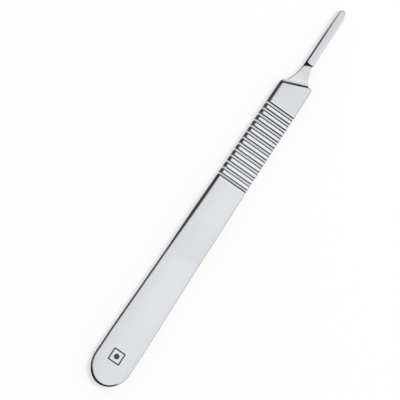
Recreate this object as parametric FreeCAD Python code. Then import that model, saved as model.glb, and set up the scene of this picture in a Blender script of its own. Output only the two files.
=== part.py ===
import FreeCAD, Part
import math
import os

from FreeCAD import Vector

# A flat steel scalpel handle in one piece, lying on its lower face.
# While it is built, X runs from the butt end to the tip and Y points to its left, seen from above.
# At the end it moves along X, so that the origin is under the middle of its length.

# Body, in millimetres and degrees
overall_length = 125.0  # butt end to the tip of the blade fitting
body_length = 99.9  # butt end to the shoulder, on the centre line
rear_width = 11.42  # across the parallel sides next to the butt
waist_width = 9.0  # where the sides turn from the rear taper to the grip
front_width = 8.38  # across the two sides, carried on to the shoulder
taper_start = 14.0  # butt end to where the sides begin to close in
taper_blend_radius = 150.0
waist_to_shoulder = 34.2
waist_blend_radius = 120.0
butt_nose_radius = 4.9  # the middle of the round butt
butt_round_length = 6.7  # butt end to where the rounding has run into the sides
shoulder_angle = 22.5  # away from square to the handle
shoulder_foot_radius = 1.3  # hollow round between the shoulder and the seat
front_ledge = 0.87  # the body's lower part runs on this far past the shoulder, on the centre line
front_angle = 13.0  # of the front of that lower part, away from square to the handle
left_corner_radius = 1.8
right_corner_radius = 1.0
edge_radius = 0.35  # along the rims of both faces

# Thickness: thin at the rear, full under the fingers, the same on both faces
rear_thickness = 2.3
grip_thickness = 4.1
rear_flat_length = 41.0  # butt end to the foot of the ramp
ramp_length = 13.5
ramp_blend_radius = 30.0

# Grip grooves, milled square across both faces
groove_count = 13
groove_pitch = 2.0
groove_radius = 0.55
groove_depth = 0.45
groove_lip_radius = 0.12
grooves_to_shoulder = 8.6  # middle of the last groove to the shoulder

# Neck, which carries the seat of the blade
seat_step = 1.6  # the upper face down to the seat
underside_step = 1.2  # the lower face up to the neck's underside
cove_radius = 0.5  # between the body's front and the neck's underside
neck_root_width = 6.0  # where the neck leaves the body
neck_tail = 1.2  # how far its flanks run on inside the body
neck_run = 7.75  # shoulder to where the neck meets the fitting
neck_skew = 1.2  # the left flank ends this much sooner, the right one later

# Blade fitting: a bar with a slit along each side for the edges of the blade's slot
nib_length = 18.0  # from its rear wall to the tip
nib_width = 2.1
nib_offset = 0.33  # its middle line lies this far to the left of the body's
nib_rise = 1.0  # the seat up to the top of the bar
nib_edge_radius = 0.3
nib_corner_radius = 0.75  # rear left corner
tip_bevel_length = 2.1  # slanted corner on the tip's right side
tip_bevel_width = 0.8
tip_bevel_radius = 1.5
tip_right_radius = 0.45
tip_left_radius = 0.8
blade_thickness = 0.4
slit_clearance = 0.1
slit_depth = 0.35
slit_length = 13.0  # from the tip to the full depth's rear end
slit_cutter_radius = 5.0
heel_depth = 0.4  # hollow between the seat and the bar
heel_radius = 3.5  # round end of the seat
heel_gap = 0.2  # at the narrow, right end of the hollow
heel_offset = 0.5  # the middle of the round end lies this far outside the bar's right side
heel_slope = 50.0
heel_fall_width = 0.5  # on the left the hollow's floor falls away over this width
heel_fall_angle = 45.0

# Worked out from the sizes above
shoulder_turn = math.tan(math.radians(shoulder_angle))
middle_height = grip_thickness / 2
seat_height = grip_thickness - seat_step
neck_bottom = underside_step
nib_top = seat_height + nib_rise
nib_start = overall_length - nib_length
nib_half = nib_width / 2
nib_left = nib_offset + nib_half
nib_right = nib_offset - nib_half
front_turn = math.tan(math.radians(front_angle))
waist_from_butt = body_length - waist_to_shoulder
margin = 2.0  # how far a cutter runs past what it cuts
fullest_round = 0.95  # most of its room that a rounding may take
smallest_edge = 0.0001


def shoulder_x(y):
    # Where the slanted shoulder crosses the line at this y
    return body_length - y * shoulder_turn


def front_x(y):
    # Where the front of the body's lower part crosses the line at this y
    return body_length + front_ledge - y * front_turn


def outline(stretches):
    # A closed outline of arcs (start, middle, end) and single points, joined by straight lines
    edges = []
    for index, stretch in enumerate(stretches):
        following = stretches[(index + 1) % len(stretches)]
        if len(stretch) == 3:
            edges.append(Part.Arc(*stretch).toShape())
        if stretch[-1].distanceToPoint(following[0]) > smallest_edge:
            edges.append(Part.LineSegment(stretch[-1], following[0]).toShape())
    return Part.Wire(edges)


def corner(before, vertex, after, radius):
    # The stretch that rounds a corner between two straight lines
    if radius == 0:
        return [vertex]
    to_before = (before - vertex).normalize()
    to_after = (after - vertex).normalize()
    half_angle = to_before.getAngle(to_after) / 2
    reach = radius / math.tan(half_angle)
    bisector = (to_before + to_after).normalize()
    middle = vertex + bisector * (radius / math.sin(half_angle) - radius)
    return [vertex + to_before * reach, middle, vertex + to_after * reach]


def rounded(corners):
    # The stretches of a closed outline through corners, each a point and the radius that rounds it
    stretches = []
    for index, (vertex, radius) in enumerate(corners):
        after = corners[(index + 1) % len(corners)][0]
        stretches.append(corner(corners[index - 1][0], vertex, after, radius))
    return stretches


def prism(wire, direction):
    return Part.Face(wire).extrude(direction)


def rim_edges(blank, rear_bottom, rear_top, ramp_end):
    # Edges around the upper and lower faces, without those that cross the faces at the ramp
    near = 0.01
    found = []
    for edge in blank.Edges:
        box = edge.BoundBox
        on_upper = box.ZMin > rear_top - near
        on_lower = box.ZMax < rear_bottom + near
        at_ramp = rear_flat_length - margin < box.XMin < ramp_end + margin
        across = at_ramp and box.XLength < near
        if (on_upper or on_lower) and not across:
            found.append(edge)
    return found


def butt_stretches():
    # The round butt, from the left side to the right: a nose arc between two wider, tangent ones
    half = rear_width / 2
    nose = min(butt_nose_radius, fullest_round * half)
    wide = (butt_round_length ** 2 - 2 * butt_round_length * nose + half ** 2) / (2 * (half - nose))
    turn = math.atan2(butt_round_length - nose, wide - half)

    def on_wide_arc(angle, side):
        out = Vector(-math.sin(angle), side * math.cos(angle), 0)
        return Vector(butt_round_length, side * (half - wide), 0) + out * wide

    left = [on_wide_arc(angle, 1) for angle in (0, turn / 2, turn)]
    right = [on_wide_arc(angle, -1) for angle in (turn, turn / 2, 0)]
    return [left, [left[2], Vector(0, 0, 0), right[0]], right]


def body_plan():
    # Round butt, parallel rear, the two tapers and the front
    rear_half = rear_width / 2
    waist_half = waist_width / 2
    front_half = front_width / 2
    butt = butt_stretches()
    sides = rounded([
        (butt[2][2], 0),
        (Vector(taper_start, -rear_half, 0), taper_blend_radius),
        (Vector(waist_from_butt, -waist_half, 0), waist_blend_radius),
        (Vector(front_x(-front_half), -front_half, 0), right_corner_radius),
        (Vector(front_x(front_half), front_half, 0), left_corner_radius),
        (Vector(waist_from_butt, waist_half, 0), waist_blend_radius),
        (Vector(taper_start, rear_half, 0), taper_blend_radius),
        (butt[0][0], 0),
    ])
    return outline(sides + butt)


def body_blank():
    # The plan cut to the side view, with its rims rounded
    rear_top = middle_height + rear_thickness / 2
    rear_bottom = middle_height - rear_thickness / 2
    ramp_end = rear_flat_length + ramp_length
    side_y = -overall_length / 2
    side = outline(rounded([
        (Vector(-margin, side_y, rear_bottom), 0),
        (Vector(rear_flat_length, side_y, rear_bottom), ramp_blend_radius),
        (Vector(ramp_end, side_y, 0), ramp_blend_radius),
        (Vector(overall_length, side_y, 0), 0),
        (Vector(overall_length, side_y, grip_thickness), 0),
        (Vector(ramp_end, side_y, grip_thickness), ramp_blend_radius),
        (Vector(rear_flat_length, side_y, rear_top), ramp_blend_radius),
        (Vector(-margin, side_y, rear_top), 0),
    ]))
    full = prism(body_plan(), Vector(0, 0, grip_thickness))
    blank = full.common(prism(side, Vector(0, overall_length, 0)))
    rounding = min(edge_radius, fullest_round * rear_thickness / 2)
    return blank.makeFillet(rounding, rim_edges(blank, rear_bottom, rear_top, ramp_end))


def groove_profile(x):
    # Round floor with a small convex lip on each side, in the XZ plane, the upper face at Z 0
    floor_centre = groove_radius - groove_depth
    reach = groove_radius + groove_lip_radius
    lip_out = math.sqrt(reach ** 2 - (floor_centre + groove_lip_radius) ** 2)
    touch_x = lip_out * groove_radius / reach
    touch_z = floor_centre - (floor_centre + groove_lip_radius) * groove_radius / reach
    half_turn = math.atan2(lip_out - touch_x, touch_z + groove_lip_radius) / 2
    lip_x = lip_out - groove_lip_radius * math.sin(half_turn)
    lip_z = groove_lip_radius * (math.cos(half_turn) - 1)

    def point(dx, dz):
        return Vector(x + dx, -rear_width, dz)

    return outline([
        [point(-touch_x, touch_z), point(0, -groove_depth), point(touch_x, touch_z)],
        [point(touch_x, touch_z), point(lip_x, lip_z), point(lip_out, 0)],
        [point(lip_out, groove_depth)],
        [point(-lip_out, groove_depth)],
        [point(-lip_out, 0), point(-lip_x, lip_z), point(-touch_x, touch_z)],
    ])


def grip_cutters():
    # The same grooves in both faces, counted back from the shoulder
    cutters = []
    for index in range(groove_count):
        x = body_length - grooves_to_shoulder - index * groove_pitch
        upper = prism(groove_profile(x), Vector(0, 2 * rear_width, 0))
        lower = upper.mirror(Vector(0, 0, 0), Vector(0, 0, 1))
        upper.translate(Vector(0, 0, grip_thickness))
        cutters.extend([upper, lower])
    return cutters


def flank(side):
    # One hollow flank of the neck: its end inside the body, and the arc that runs into the fitting's side
    half_root = neck_root_width / 2
    root_x = front_x(side * half_root)
    end_x = body_length + neck_run - side * neck_skew
    end_y = nib_half + side * nib_offset
    run = end_x - root_x
    rise = half_root - end_y
    radius = (run ** 2 + rise ** 2) / (2 * rise)
    angle = math.asin(run / radius)
    middle_x = end_x - radius * math.sin(angle / 2)
    middle_y = end_y + radius * (1 - math.cos(angle / 2))
    tail_x = root_x - neck_tail * math.cos(angle)
    tail_y = half_root + neck_tail * math.sin(angle)
    arc = [
        Vector(root_x, side * half_root, 0),
        Vector(middle_x, side * middle_y, 0),
        Vector(end_x, side * end_y, 0),
    ]
    return Vector(tail_x, side * tail_y, 0), arc


def front_plan():
    # Neck and fitting seen from above, with a tail that stays inside the body
    left_tail, left = flank(1)
    right_tail, right = flank(-1)
    left_tip = Vector(overall_length, nib_left, 0)
    right_tip = Vector(overall_length, nib_right + tip_bevel_width, 0)
    bevel_end = Vector(overall_length - tip_bevel_length, nib_right, 0)
    left_room = nib_width - tip_bevel_width - tip_right_radius
    left_round = min(tip_left_radius, fullest_round * left_room)
    return outline([
        [left_tail],
        left,
        corner(left[2], left_tip, right_tip, left_round),
        corner(left_tip, right_tip, bevel_end, tip_right_radius),
        corner(right_tip, bevel_end, right[2], tip_bevel_radius),
        right[::-1],
        [right_tail],
    ])


def front_blank():
    # Neck and fitting at the fitting's full height, with soft rims apart from the tail's square end
    blank = prism(front_plan(), Vector(0, 0, nib_top - neck_bottom))
    rims = []
    for edge in blank.Edges:
        box = edge.BoundBox
        if box.ZLength < nib_edge_radius and box.YLength < neck_root_width:
            rims.append(edge)
    blank = blank.makeFillet(nib_edge_radius, rims)
    blank.translate(Vector(0, 0, neck_bottom))
    return blank


def slanted_bar(foot_x, turn, level, section):
    # A bar along a slanted line across the handle, its section given as stretches of (out, up)
    direction = Vector(-turn, 1, 0).normalize()
    outward = Vector(direction.y, -direction.x, 0)
    foot = Vector(foot_x, 0, level) - direction * rear_width
    stretches = []
    for stretch in section:
        stretches.append([foot + outward * out + Vector(0, 0, up) for out, up in stretch])
    return prism(outline(stretches), direction * 2 * rear_width)


def hollow_round(radius, up):
    # Quarter circle in the corner of such a section, from the level face to the upright one
    near = radius * (1 - math.cos(math.radians(45)))
    return [(radius, 0), (near, up * near), (0, up * radius)]


def seat_cutter():
    # Everything above the blade's seat, between the slanted shoulder and the fitting's rear wall
    above = slanted_bar(shoulder_x(0), shoulder_turn, seat_height, [
        hollow_round(shoulder_foot_radius, 1),
        [(0, grip_thickness)],
        [(overall_length, grip_thickness)],
        [(overall_length, 0)],
    ])
    corner_point = Vector(0, -rear_width, 0)
    return above.common(Part.makeBox(nib_start, 2 * rear_width, 2 * grip_thickness, corner_point))


def heel_cutter():
    # Hollow between the seat's round end and the fitting's rear wall
    floor = seat_height - heel_depth
    fall = heel_fall_width * math.tan(math.radians(heel_fall_angle))
    depth = heel_depth + 2 * fall
    deepest = seat_height - depth
    rear_x = nib_start - heel_radius
    wall_x = nib_start + nib_corner_radius
    wall = corner(
        Vector(nib_start, -rear_width, deepest),
        Vector(nib_start, nib_left, deepest),
        Vector(wall_x, nib_left, deepest),
        nib_corner_radius,
    )
    hollow = prism(outline([
        [Vector(rear_x, rear_width, deepest)],
        [Vector(rear_x, -rear_width, deepest)],
        [Vector(nib_start, -rear_width, deepest)],
        wall,
        [Vector(wall_x, rear_width, deepest)],
    ]), Vector(0, 0, grip_thickness))

    # Its floor is level and then falls away to the left
    left_y = nib_left + heel_fall_width
    kept_floor = prism(outline([
        [Vector(rear_x, -rear_width, deepest)],
        [Vector(rear_x, -rear_width, floor)],
        [Vector(rear_x, nib_left - heel_fall_width, floor)],
        [Vector(rear_x, left_y, deepest)],
    ]), Vector(wall_x - rear_x, 0, 0))

    # The seat's round end, flaring out downwards
    top_centre = Vector(nib_start - heel_gap - heel_radius, nib_right - heel_offset, seat_height)
    foot_centre = top_centre - Vector(0, 0, depth)
    widening = depth / math.tan(math.radians(heel_slope))
    seat_end = Part.makeCone(heel_radius + widening, heel_radius, depth, foot_centre)
    above_seat = Part.makeCylinder(heel_radius, grip_thickness, top_centre)
    return hollow.cut([kept_floor, seat_end, above_seat])


def slit_cutters():
    # A slit along each side of the fitting, its rear end run out by a round saw
    web_half = nib_half - slit_depth
    height = blade_thickness + slit_clearance
    saw_x = overall_length - slit_length
    cutters = []
    for side in (1, -1):
        web_y = nib_offset + side * web_half
        saw_y = web_y + side * slit_cutter_radius
        saw = Part.makeCylinder(slit_cutter_radius, height, Vector(saw_x, saw_y, seat_height))
        run_corner = Vector(saw_x, min(web_y, saw_y), seat_height)
        run = Part.makeBox(slit_length + margin, slit_cutter_radius, height, run_corner)
        cutters.append(saw.fuse(run))
    return cutters


def underside_cove():
    # Hollow fillet in the corner between the body's front and the neck's underside
    fill = slanted_bar(front_x(0), front_turn, neck_bottom, [
        hollow_round(cove_radius, -1),
        [(-cove_radius, -cove_radius)],
        [(-cove_radius, cove_radius)],
        [(cove_radius, cove_radius)],
    ])
    return fill.common(prism(front_plan(), Vector(0, 0, grip_thickness)))


def handle():
    above_seat = seat_cutter()
    body = body_blank().cut([above_seat] + grip_cutters())
    front = front_blank().cut([above_seat, heel_cutter()] + slit_cutters())
    solid = body.fuse([front, underside_cove()]).removeSplitter()
    solid.translate(Vector(-overall_length / 2, 0, 0))
    return solid


shape = handle()
print("valid:", shape.isValid(), "solids:", len(shape.Solids), "faces:", len(shape.Faces))
print("volume:", shape.Volume, shape.optimalBoundingBox())
os.makedirs("parts", exist_ok=True)
shape.exportStep("parts/handle.step")
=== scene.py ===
import math

import bpy
from mathutils import Matrix, Vector

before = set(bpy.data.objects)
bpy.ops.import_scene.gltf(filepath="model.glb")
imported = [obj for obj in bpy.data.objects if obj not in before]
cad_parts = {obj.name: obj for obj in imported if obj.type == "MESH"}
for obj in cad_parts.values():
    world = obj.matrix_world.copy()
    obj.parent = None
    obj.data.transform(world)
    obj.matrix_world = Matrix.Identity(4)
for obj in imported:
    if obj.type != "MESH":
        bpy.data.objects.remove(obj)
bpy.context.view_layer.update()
print("frame loaded")

mm = 0.001


# a shader socket that adds, multiplies and divides like a number
class Chain:
    def __init__(self, tree, socket=None):
        self.tree = tree
        self.socket = socket

    # settings first, then the values or links of the sockets
    def node(self, kind, settings=None, inputs=None):
        made = self.tree.nodes.new(kind)
        for name, value in (settings or {}).items():
            setattr(made, name, value)
        for name, value in (inputs or {}).items():
            if isinstance(value, Chain):
                self.tree.links.new(value.socket, made.inputs[name])
            else:
                made.inputs[name].default_value = value
        return Chain(self.tree, made.outputs[0] if made.outputs else None)

    # another output of the same node
    def output(self, name):
        return Chain(self.tree, self.socket.node.outputs[name])

    def math(self, operation, first, second=0.0):
        return self.node("ShaderNodeMath", {"operation": operation}, {0: first, 1: second})

    def vectorMath(self, operation, first, second):
        return self.node("ShaderNodeVectorMath", {"operation": operation}, {0: first, 1: second})

    # the first colour where this is 0, the second where it is 1: a chain or three plain numbers each
    def mixed(self, first, second):
        first, second = (value if isinstance(value, Chain) else (*value, 1) for value in (first, second))
        mix = self.node("ShaderNodeMix", {"data_type": "RGBA"}, {"Factor": self, 6: first, 7: second})
        return mix.output(2)

    # 0 at low, 1 at high, with soft ends
    def between(self, low, high):
        return self.node("ShaderNodeMapRange", {"interpolation_type": "SMOOTHSTEP"},
                         {"Value": self, "From Min": low, "From Max": high})

    # 1 inside: it rises from 0 over the first two values and falls back over the other two
    def within(self, rise, fall):
        return self.between(*rise) * (1 - self.between(*fall))

    def clamped(self):
        return self.node("ShaderNodeClamp", {}, {"Value": self})

    def larger(self, other):
        return self.math("MAXIMUM", self, other)

    def smaller(self, other):
        return self.math("MINIMUM", self, other)

    def __add__(self, other):
        return self.math("ADD", self, other)

    def __radd__(self, other):
        return self.math("ADD", other, self)

    def __sub__(self, other):
        return self.math("SUBTRACT", self, other)

    def __rsub__(self, other):
        return self.math("SUBTRACT", other, self)

    def __mul__(self, other):
        return self.math("MULTIPLY", self, other)

    def __rmul__(self, other):
        return self.math("MULTIPLY", other, self)

    def __truediv__(self, other):
        return self.math("DIVIDE", self, other)

    def __rtruediv__(self, other):
        return self.math("DIVIDE", other, self)

    def __abs__(self):
        return self.math("ABSOLUTE", self)


def newMaterial(name):
    material = bpy.data.materials.new(name)
    material.use_nodes = True
    material.node_tree.nodes.clear()
    return material, Chain(material.node_tree)


def newMesh(name, verts, faces, material):
    mesh = bpy.data.meshes.new(name)
    mesh.from_pydata(verts, [], faces)
    mesh.update()
    mesh.materials.append(material)
    obj = bpy.data.objects.new(name, mesh)
    bpy.context.scene.collection.objects.link(obj)
    return obj


# how the photo was taken
shot = {
    "imagePixels": 400,
    "pixelsPerMm": 3.59,
    "axisAngle": 56.5,        # degrees that the handle rises towards the picture's right
    "leanToLeft": 12.0,       # degrees that the camera leans over the handle's left side
    "leanToButt": 7.0,        # and over its butt
    "aimX": -4.1 * mm,        # the point in the middle of the picture
    "aimY": 4.44 * mm,
    "distance": 1.2,          # metres
    "nearest": 0.01,
    "sensorWidth": 36.0,
}

towards = Vector((-math.tan(math.radians(shot["leanToButt"])),
                  math.tan(math.radians(shot["leanToLeft"])), 1)).normalized()
alongView = (Vector((1, 0, 0)) - towards * towards.x).normalized()
acrossView = towards.cross(alongView)
turn = math.radians(shot["axisAngle"])
rightWay = alongView * math.cos(turn) - acrossView * math.sin(turn)
upWay = alongView * math.sin(turn) + acrossView * math.cos(turn)


def addCamera():
    data = bpy.data.cameras.new("camera")
    span = shot["imagePixels"] / shot["pixelsPerMm"] * mm
    data.sensor_fit = "HORIZONTAL"
    data.sensor_width = shot["sensorWidth"]
    data.lens = data.sensor_width * shot["distance"] / span
    data.clip_start = shot["nearest"]
    camera = bpy.data.objects.new("camera", data)
    camera.matrix_world = Matrix((
        (rightWay.x, upWay.x, towards.x, 0),
        (rightWay.y, upWay.y, towards.y, 0),
        (rightWay.z, upWay.z, towards.z, 0),
        (0, 0, 0, 1),
    ))
    camera.location = Vector((shot["aimX"], shot["aimY"], 0)) + towards * shot["distance"]
    bpy.context.scene.collection.objects.link(camera)
    bpy.context.scene.camera = camera


addCamera()
print("camera placed")


# turns are degrees from +X towards +Y, heights are degrees above the floor
def direction(turnAngle, heightAngle):
    around = math.radians(turnAngle)
    up = math.radians(heightAngle)
    return Vector((math.cos(up) * math.cos(around), math.cos(up) * math.sin(around), math.sin(up)))


# 1 where the camera, the steel or glass looks at a thing, 0 for the light that falls on it
def seen(chain):
    paths = chain.node("ShaderNodeLightPath")
    rays = paths.output("Is Camera Ray") + paths.output("Is Glossy Ray")
    return (rays + paths.output("Is Transmission Ray")).clamped()


# white all round, which lights things less than it shows
sky = {
    "litLevel": 0.5,
    "seenLevel": 1.0,
}


def addSky():
    world = bpy.data.worlds.new("sky")
    bpy.context.scene.world = world
    world.use_nodes = True
    world.node_tree.nodes.clear()
    chain = Chain(world.node_tree)
    strength = sky["litLevel"] + seen(chain) * (sky["seenLevel"] - sky["litLevel"])
    white = chain.node("ShaderNodeBackground", {}, {"Color": (1, 1, 1, 1), "Strength": strength})
    chain.node("ShaderNodeOutputWorld", {}, {"Surface": white})


# the floor, with its size in metres as in all of the studio
paper = {
    "grey": 0.97,
    "size": 6.0,
    "whiteShare": 0.63,       # share of plain white in the paper as it is seen
}


def addFloor():
    material, chain = newMaterial("floorPaper")
    grey = paper["grey"]
    lit = chain.node("ShaderNodeBsdfDiffuse", {}, {"Color": (grey, grey, grey, 1)})
    white = chain.node("ShaderNodeEmission", {}, {"Color": (1, 1, 1, 1), "Strength": 1.0})
    whiteShare = seen(chain) * paper["whiteShare"]
    surface = chain.node("ShaderNodeMixShader", {}, {0: whiteShare, 1: lit, 2: white})
    chain.node("ShaderNodeOutputMaterial", {}, {"Surface": surface})
    half = paper["size"] / 2
    floor = newMesh("floor", [(-half, -half, 0), (half, -half, 0), (half, half, 0), (-half, half, 0)],
                    [(0, 1, 2, 3)], material)


# dark card low down all round, which the steel's edges reflect and nothing else shows
card = {
    "level": 0.02,
    "radius": 0.5,
    "highFrom": 5.0,          # it stands higher between these turns
    "highTo": 200.0,
    "highTop": 28.0,
    "lowTop": 18.0,
    "steps": 64,
}


def addFlag():
    material, chain = newMaterial("flagCard")
    dark = chain.node("ShaderNodeEmission", {}, {"Color": (1, 1, 1, 1), "Strength": card["level"]})
    chain.node("ShaderNodeOutputMaterial", {}, {"Surface": dark})
    steps = card["steps"]
    verts = []
    for step in range(steps):
        around = 360 * step / steps
        isHigh = card["highFrom"] < around < card["highTo"]
        height = card["highTop"] if isHigh else card["lowTop"]
        foot = direction(around, 0) * card["radius"]
        top = foot + Vector((0, 0, card["radius"] * math.tan(math.radians(height))))
        verts += [foot, top]
    count = 2 * steps
    faces = [(2 * i, (2 * i + 2) % count, (2 * i + 3) % count, 2 * i + 1) for i in range(steps)]
    flag = newMesh("flag", verts, faces, material)
    flag.visible_camera = False
    flag.visible_diffuse = False
    flag.visible_transmission = False
    flag.visible_shadow = False


keyLight = {
    "power": 12.2,
    "size": 0.4,
    "distance": 1.5,
    "turn": -36.0,            # from the picture's upper right
    "height": 73.0,
}

# soft lamps that only the steel reflects, over the rear half and low down on the right
steelLights = {
    "gleam": {"power": 0.0285, "size": 0.16, "place": (26 * mm, -110 * mm, 440 * mm)},
    "rim": {"power": 0.12, "size": 0.3, "place": (0, -420 * mm, 170 * mm)},
}


# a round lamp that faces the handle
def addLamp(name, place, size, power):
    data = bpy.data.lights.new(name, "AREA")
    data.shape = "DISK"
    data.size = size
    data.energy = power
    lamp = bpy.data.objects.new(name, data)
    lamp.location = place
    lamp.rotation_euler = place.to_track_quat("Z", "Y").to_euler()
    bpy.context.scene.collection.objects.link(lamp)
    return lamp


addSky()
addFloor()
addFlag()
key = addLamp("key", direction(keyLight["turn"], keyLight["height"]) * keyLight["distance"],
              keyLight["size"], keyLight["power"])
key.visible_glossy = False
for name, light in steelLights.items():
    lamp = addLamp(name, Vector(light["place"]), light["size"], light["power"])
    lamp.visible_diffuse = False
bpy.context.scene.view_settings.view_transform = "Standard"
print("studio ready")


# on the handle, lengths and places are in mm and colours are linear light
# two numbers in brackets say where a soft edge starts and where it ends


def distance(offX, offY):
    return offX.math("SQRT", offX * offX + offY * offY)


# square size mark near the butt, etched dark, with a round dot in it
mark = {
    "x": -53.55,
    "y": 0.34,
    "side": 3.85,
    "cornerRadius": 0.15,
    "lineWidth": 0.4,
    "dotRadius": 0.8,
    "softness": 0.06,
    "upperFace": (2.0, 2.5),          # z that parts the upper face from the lower one
    "colour": (0.08, 0.08, 0.084),
    "roughness": 0.5,
    "depth": 0.02,
}


# 1 on the etched line and in the dot, 0 elsewhere
def markMask(x, y, z):
    offX = x - mark["x"]
    offY = y - mark["y"]
    inset = mark["side"] / 2 - mark["lineWidth"] / 2 - mark["cornerRadius"]
    pastX = abs(offX) - inset
    pastY = abs(offY) - inset
    outside = distance(pastX.larger(0), pastY.larger(0))
    fromLine = abs(outside + pastX.larger(pastY).smaller(0) - mark["cornerRadius"])
    half = mark["lineWidth"] / 2
    soft = mark["softness"]
    line = 1 - fromLine.between(half - soft, half + soft)
    dot = 1 - distance(offX, offY).between(mark["dotRadius"] - soft, mark["dotRadius"] + soft)
    return line.larger(dot) * z.between(*mark["upperFace"])


# the grooves of the grip, which run on over the side walls as shallow hollows with a painted highlight
grooves = {
    "first": 4.8,                     # x of the middle of the first groove and of the last
    "last": 28.8,
    "pitch": 2.0,
    "softEnd": 0.1,
    "ridgeEdge": (0.52, 0.62),        # from the middle of a groove to where its ridge's painted highlight starts
    "sideFrom": (0.22, 0.34),         # and to where its sides begin and end
    "sideTo": (0.58, 0.66),
    "firstShade": 0.35,                # share of painted shade on the sides of the first groove and of the last
    "lastShade": 1.0,
    "rearFrom": (-0.65, -0.6),        # the first groove's rear side, from its middle, gets more painted shade
    "rearTo": (-0.1, 0.0),
    "rearShade": 0.6,
    "endEdge": (0.19, 0.31),          # from the middle of a painted highlight at a groove's end to its edge
    "endSlant": 0.09,                 # what it moves towards the tip for each mm below the top
    "top": 4.1,                       # z of the upper face
    "hollowEdge": (0.05, 0.6),        # from the middle of a hollow to where the wall is level again
    "hollowDepth": 0.2,
}


# the ridges, painted shade on the grooves' sides, painted highlights at the grooves' ends on the upright
# walls, and the hollows there
def gripMasks(x, z, upright):
    half = grooves["pitch"] / 2
    soft = grooves["softEnd"]
    rear = grooves["first"] - half
    front = grooves["last"] + half
    inGrip = x.within((rear, rear + soft), (front - soft, front))

    fromMiddle = x.math("PINGPONG", x - grooves["last"], half)
    ridges = inGrip * fromMiddle.between(*grooves["ridgeEdge"])

    # painted shade on the grooves' sides, darker towards the tip
    fromFirst = x - grooves["first"]
    shadeGrowth = (grooves["lastShade"] - grooves["firstShade"]) / (grooves["last"] - grooves["first"])
    sides = inGrip * fromMiddle.within(grooves["sideFrom"], grooves["sideTo"])
    sideShade = sides * (grooves["firstShade"] + fromFirst * shadeGrowth)
    rearShade = fromFirst.within(grooves["rearFrom"], grooves["rearTo"]) * grooves["rearShade"]
    shadedSides = sideShade.larger(rearShade) * (1 - upright)

    slant = (grooves["top"] - z) * grooves["endSlant"]
    fromEnd = x.math("PINGPONG", x - slant - grooves["last"], half)
    onWall = inGrip * upright
    endGleams = onWall * (1 - fromEnd.between(*grooves["endEdge"]))
    hollows = onWall * (1 - fromEnd.between(*grooves["hollowEdge"]))
    return ridges, shadedSides, endGleams, hollows


# painted highlight: lighter steel on the ridges, on the seat and on the right half of the fitting's bar
paintedHighlight = {
    "colour": (0.72, 0.736, 0.765),
    "seatShare": 0.8,
    "seatFrom": (35.4, 36.4),         # x and z of the seat
    "seatTo": (38.7, 41.2),
    "seatBottom": (2.4, 2.45),
    "seatTop": (2.6, 2.7),
    "barFrom": (44.5, 45.0),          # x where the bar starts, and y where its right half does
    "barHalf": (-0.6, 0.2),
}


def highlightMask(x, y, z, ridges):
    seat = x.within(paintedHighlight["seatFrom"], paintedHighlight["seatTo"])
    seat = seat * z.within(paintedHighlight["seatBottom"], paintedHighlight["seatTop"])
    bar = x.between(*paintedHighlight["barFrom"]) * (1 - y.between(*paintedHighlight["barHalf"]))
    return ridges.larger((seat * paintedHighlight["seatShare"]).larger(bar))


# the butt's rim falls away outside a circle, and is painted dark there as shade
buttRim = {
    "x": -57.36,
    "y": 0.1,
    "radius": 4.65,
    "width": 0.25,
    "frontEdge": (-60.6, -59.4),      # x where it ends
    "fall": 1.2,                      # mm down for each mm outwards
}


# how far a place lies outside the circle, at most the rim's width
def pastButtRim(x, y):
    past = distance(x - buttRim["x"], y - buttRim["y"]) - buttRim["radius"]
    return past.larger(0).smaller(buttRim["width"]) * (1 - x.between(*buttRim["frontEdge"]))


# painted shade: darkening in the hollow behind the fitting, at the foot of the shoulder and on the butt's
# steep side, where shade falls
paintedShade = {
    "colour": (0.05, 0.05, 0.052),
    "heelX": 44.2,                    # hollow behind the blade fitting
    "heelY": 0.4,
    "heelEdge": (1.1, 1.9),           # how far it reaches from there
    "heelTop": (2.36, 2.46),          # z
    "shoulderX": 37.4,                # foot of the slanted shoulder, on the centre line
    "shoulderTurn": 0.414,            # what it moves back for each mm to the left
    "shoulderFrom": (-0.1, 0.0),      # x from that foot
    "shoulderTo": (0.9, 1.4),
    "seatLevel": (2.45, 2.55),        # z of the seat, which the shoulder stands on
    "buttX": -62.5,                   # steep side of the round butt, and how far along it the painted shade goes
    "buttEdge": (0.2, 1.6),
}


# painted shade in the heel hollow, at the shoulder's foot and on the butt's steep side
def cornerShade(x, y, z, steep):
    heel = 1 - distance(x - paintedShade["heelX"], y - paintedShade["heelY"]).between(*paintedShade["heelEdge"])
    heel = heel * (1 - z.between(*paintedShade["heelTop"]))
    ahead = x - paintedShade["shoulderX"] + y * paintedShade["shoulderTurn"]
    foot = ahead.within(paintedShade["shoulderFrom"], paintedShade["shoulderTo"]) * z.between(*paintedShade["seatLevel"])
    butt = 1 - (x - paintedShade["buttX"]).between(*paintedShade["buttEdge"])
    return heel.larger(foot.larger(butt) * steep)


# fine lines along the handle, and soft smudges
grain = {
    "length": 6.0,
    "width": 0.12,
    "detail": 3.0,
    "depth": 0.004,
    "roughness": 0.08,
    "smudgeSize": 9.0,
    "smudgeDetail": 2.0,
    "smudgeRoughness": 0.06,
    "smudgeTone": 0.09,
}

# satin steel
steel = {
    "face": (0.615, 0.630, 0.657),
    "faceEdgeTint": (0.95, 0.95, 0.96),   # reflection seen along the surface
    "faceRoughness": 0.30,
    "faceCrown": 0.0065,                  # the faces are a little round across: mm down for each mm squared
    "wall": (0.24, 0.245, 0.26),          # painted shade: steep sides coloured darker than the ground faces, a shaded copy of the same steel
    # painted shade: a dark tint on what the steep sides reflect along the surface
    "wallEdgeTint": (0.12, 0.12, 0.13),
    "wallRoughness": 0.36,
    "steepEdge": (0.55, 0.90),            # upward share of the normal, from the side walls to the faces
    "uprightEdge": (0.05, 0.1),           # the same, from what stands upright to the rest
    "tipGleam": (52.0, 63.0),             # x over which the fitting's sides grow brighter: a painted highlight
}


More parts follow.
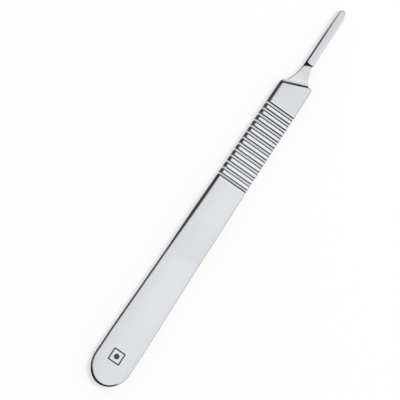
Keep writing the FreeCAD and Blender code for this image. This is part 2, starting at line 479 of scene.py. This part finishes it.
def steelFinish():
    material, chain = newMaterial("satinSteel")
    place = chain.node("ShaderNodeTexCoord").output("Object")
    parts = chain.node("ShaderNodeSeparateXYZ", {}, {"Vector": place})
    x, y, z = (parts.output(axis) / mm for axis in "XYZ")
    normal = chain.node("ShaderNodeTexCoord").output("Normal")
    upward = abs(chain.node("ShaderNodeSeparateXYZ", {}, {"Vector": normal}).output("Z"))
    steep = 1 - upward.between(*steel["steepEdge"])
    upright = 1 - upward.between(*steel["uprightEdge"])

    across = 1 / (grain["width"] * mm)
    stretched = chain.vectorMath("MULTIPLY", place, (1 / (grain["length"] * mm), across, across))
    lines = chain.node("ShaderNodeTexNoise", {}, {
        "Vector": stretched, "Scale": 1.0, "Detail": grain["detail"]})
    smudge = chain.node("ShaderNodeTexNoise", {}, {
        "Vector": place, "Scale": 1 / (grain["smudgeSize"] * mm), "Detail": grain["smudgeDetail"]})

    ridges, grooveShade, endGleams, hollows = gripMasks(x, z, upright)
    etched = markMask(x, y, z)
    pastRim = pastButtRim(x, y)
    # painted shade: the corners, the butt's rim and the grooves' sides are darkened as if in shadow
    shadeMask = cornerShade(x, y, z, steep).larger(pastRim / buttRim["width"]).larger(grooveShade)
    # painted highlight: the groove ends on the walls and the fitting's sides lose the walls' painted shade
    paintedGleams = endGleams.larger(x.between(*steel["tipGleam"]))

    # painted highlight on the ridges, the seat and the right half of the bar
    highlighted = highlightMask(x, y, z, ridges).mixed(steel["face"], paintedHighlight["colour"])
    smudged = chain.vectorMath("MULTIPLY", highlighted, 1 + (smudge - 0.5) * grain["smudgeTone"])
    faceColour = shadeMask.mixed(etched.mixed(smudged, mark["colour"]), paintedShade["colour"])
    wallColour = shadeMask.mixed(steel["wall"], paintedShade["colour"])

    wear = (lines - 0.5) * grain["roughness"] + (smudge - 0.5) * grain["smudgeRoughness"]
    faceRoughness = steel["faceRoughness"] + wear + etched * (mark["roughness"] - steel["faceRoughness"])
    height = lines * grain["depth"] - etched * mark["depth"] - y * y * steel["faceCrown"]
    height = height - pastRim * buttRim["fall"] - hollows * grooves["hollowDepth"]
    bump = chain.node("ShaderNodeBump", {}, {"Height": height, "Strength": 1.0, "Distance": mm})

    face = chain.node("ShaderNodeBsdfPrincipled", {}, {
        "Base Color": faceColour, "Metallic": 1.0, "Roughness": faceRoughness.clamped(), "Normal": bump,
        "Specular Tint": (*steel["faceEdgeTint"], 1)})
    # the steel of the steep sides, with painted shade
    wall = chain.node("ShaderNodeBsdfPrincipled", {}, {
        "Base Color": wallColour, "Metallic": 1.0, "Roughness": (steel["wallRoughness"] + wear).clamped(),
        "Normal": bump, "Specular Tint": (*steel["wallEdgeTint"], 1)})
    # steep sides take the shaded copy, except at the painted highlights of the groove ends and the
    # fitting's sides
    shader = chain.node("ShaderNodeMixShader", {}, {0: steep * (1 - paintedGleams), 1: face, 2: wall})
    chain.node("ShaderNodeOutputMaterial", {}, {"Surface": shader})
    return material


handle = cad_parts["handle"]
finish = steelFinish()
for slot in handle.material_slots:
    slot.material = finish
print("steel ready, material slots:", len(handle.material_slots))
